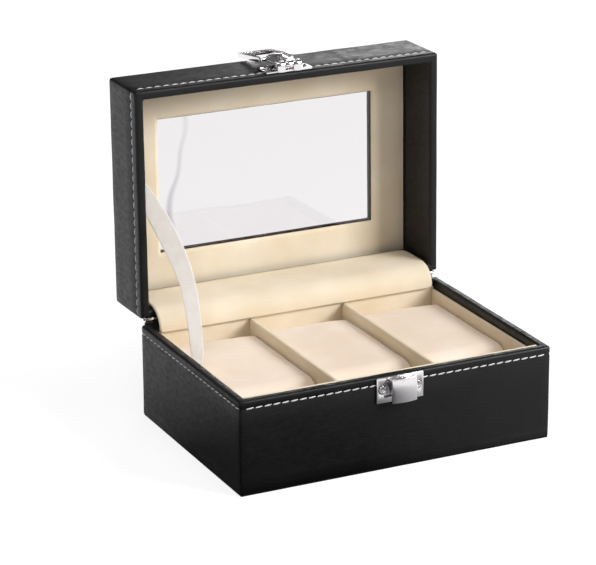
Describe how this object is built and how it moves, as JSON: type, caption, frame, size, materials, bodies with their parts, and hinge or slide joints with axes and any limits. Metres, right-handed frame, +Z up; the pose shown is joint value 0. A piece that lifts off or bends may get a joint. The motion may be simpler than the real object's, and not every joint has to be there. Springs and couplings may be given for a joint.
{
  "type": "watch box",
  "caption": "Watch box with lift-out pillows in divided slots, hinged window lid, ribbon stay, and ring-and-lever front latch over a fixed catch hook.",
  "frame": {"origin": "middle of the flat underside, on the surface the box stands on", "axes": "+X to the right along the front, +Y from the front to the hinged back, +Z up"},
  "size_m": [0.16, 0.1594, 0.1658],
  "materials": {
    "black_leather": "soft sheen, fine grain",
    "cream_suede": "matt brushed suede cloth",
    "pillow_velvet": "matt velvet",
    "board_fibre": "raw fibreboard",
    "chrome": "polished plate",
    "ivory_satin": "satin ribbon",
    "clear_pane": "clear, glossy",
    "black_felt": "matt felt",
    "grey_card": "raw foam and card"
  },
  "bodies": {
    "base": {"underside_pad": "black_felt", "base_floor_board": "board_fibre", "base_front_board": "board_fibre", "base_rear_board": "board_fibre", "base_left_board": "board_fibre", "base_right_board": "board_fibre", "base_leather_cover": "black_leather", "lining_floor": "cream_suede", "lining_front": "cream_suede", "lining_rear": "cream_suede", "lining_left": "cream_suede", "lining_right": "cream_suede", "divider_left": "cream_suede", "divider_right": "cream_suede", "catch_plate": "chrome", "catch_hook": "chrome", "catch_rivet": "chrome", "catch_screw_left": "chrome", "catch_screw_right": "chrome", "hinge_leaf_base": "chrome", "hinge_pin": "chrome", "ribbon_stay": "ivory_satin", "hinge_flap": "cream_suede"},
    "lid": {"lid_front_board": "board_fibre", "lid_rear_board": "board_fibre", "lid_left_board": "board_fibre", "lid_right_board": "board_fibre", "lid_top_board": "board_fibre", "lid_leather_cover": "black_leather", "window_pane": "clear_pane", "lid_lining_panel": "cream_suede", "hinge_leaf_lid": "chrome", "hasp_plate": "chrome", "hasp_screw_left": "chrome", "hasp_screw_right": "chrome", "hasp_pin": "chrome"},
    "hasp_lever": {"hasp_lever": "chrome"},
    "hasp_ring": {"hasp_ring": "chrome"},
    "pillow_left": {"pillow_left": "pillow_velvet", "pillow_left_core": "grey_card"},
    "pillow_middle": {"pillow_middle": "pillow_velvet", "pillow_middle_core": "grey_card"},
    "pillow_right": {"pillow_right": "pillow_velvet", "pillow_right_core": "grey_card"}
  },
  "joints": [
    {"name": "lid_hinge", "type": "hinge", "parent": "base", "child": "lid", "pos_m": [0, 0.0563, 0.0481], "axis": [-1, 0, 0], "range_deg": [-91, 0], "deforming": ["ribbon_stay", "hinge_flap"]},
    {"name": "hasp_lever_pivot", "type": "hinge", "parent": "lid", "child": "hasp_lever", "pos_m": [0, 0.05912, 0.16377], "axis": [1, 0, 0], "range_deg": [0, 110]},
    {"name": "hasp_ring_pivot", "type": "hinge", "parent": "hasp_lever", "child": "hasp_ring", "pos_m": [0, 0.07337, 0.16372], "axis": [-1, 0, 0], "range_deg": [-189.1, 0]},
    {"name": "pillow_left_lift", "type": "slide", "parent": "base", "child": "pillow_left", "axis": [0, 0, 1], "range_m": [0, 0.06]},
    {"name": "pillow_middle_lift", "type": "slide", "parent": "base", "child": "pillow_middle", "axis": [0, 0, 1], "range_m": [0, 0.06]},
    {"name": "pillow_right_lift", "type": "slide", "parent": "base", "child": "pillow_right", "axis": [0, 0, 1], "range_m": [0, 0.06]}
  ]
}
